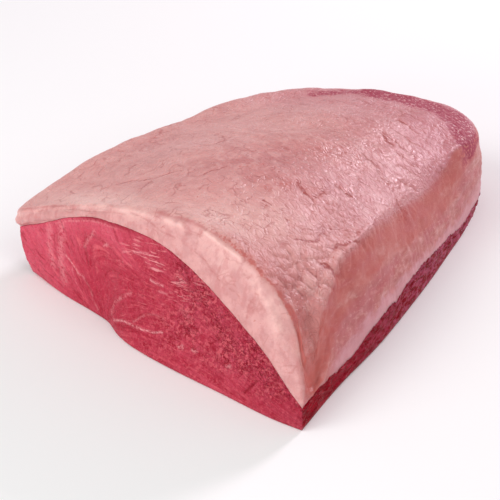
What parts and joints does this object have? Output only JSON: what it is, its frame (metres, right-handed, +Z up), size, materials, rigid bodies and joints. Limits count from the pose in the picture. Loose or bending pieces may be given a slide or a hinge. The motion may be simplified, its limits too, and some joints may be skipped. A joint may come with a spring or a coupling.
{
  "type": "raw baby picanha",
  "caption": "Raw rump cap of beef: a rounded wedge of lean meat under a thick fat cap, with a wide flat cut face at one end.",
  "frame": {"origin": "middle of the flat underside: the centre of the bottom of the bounding box", "axes": "+X along the cut face to the side where the fat is thickest, +Y from the cut face to the rounded tip, +Z up"},
  "size_m": [0.1672, 0.1992, 0.0583],
  "materials": {
    "lean_meat": "moist, fibrous, dark rose red",
    "fat_cap": "moist, finely wrinkled, dusty pink with cream cut edges"
  },
  "bodies": {
    "root": {"lean_meat": "lean_meat", "fat_cap": "fat_cap"}
  },
  "joints": []
}
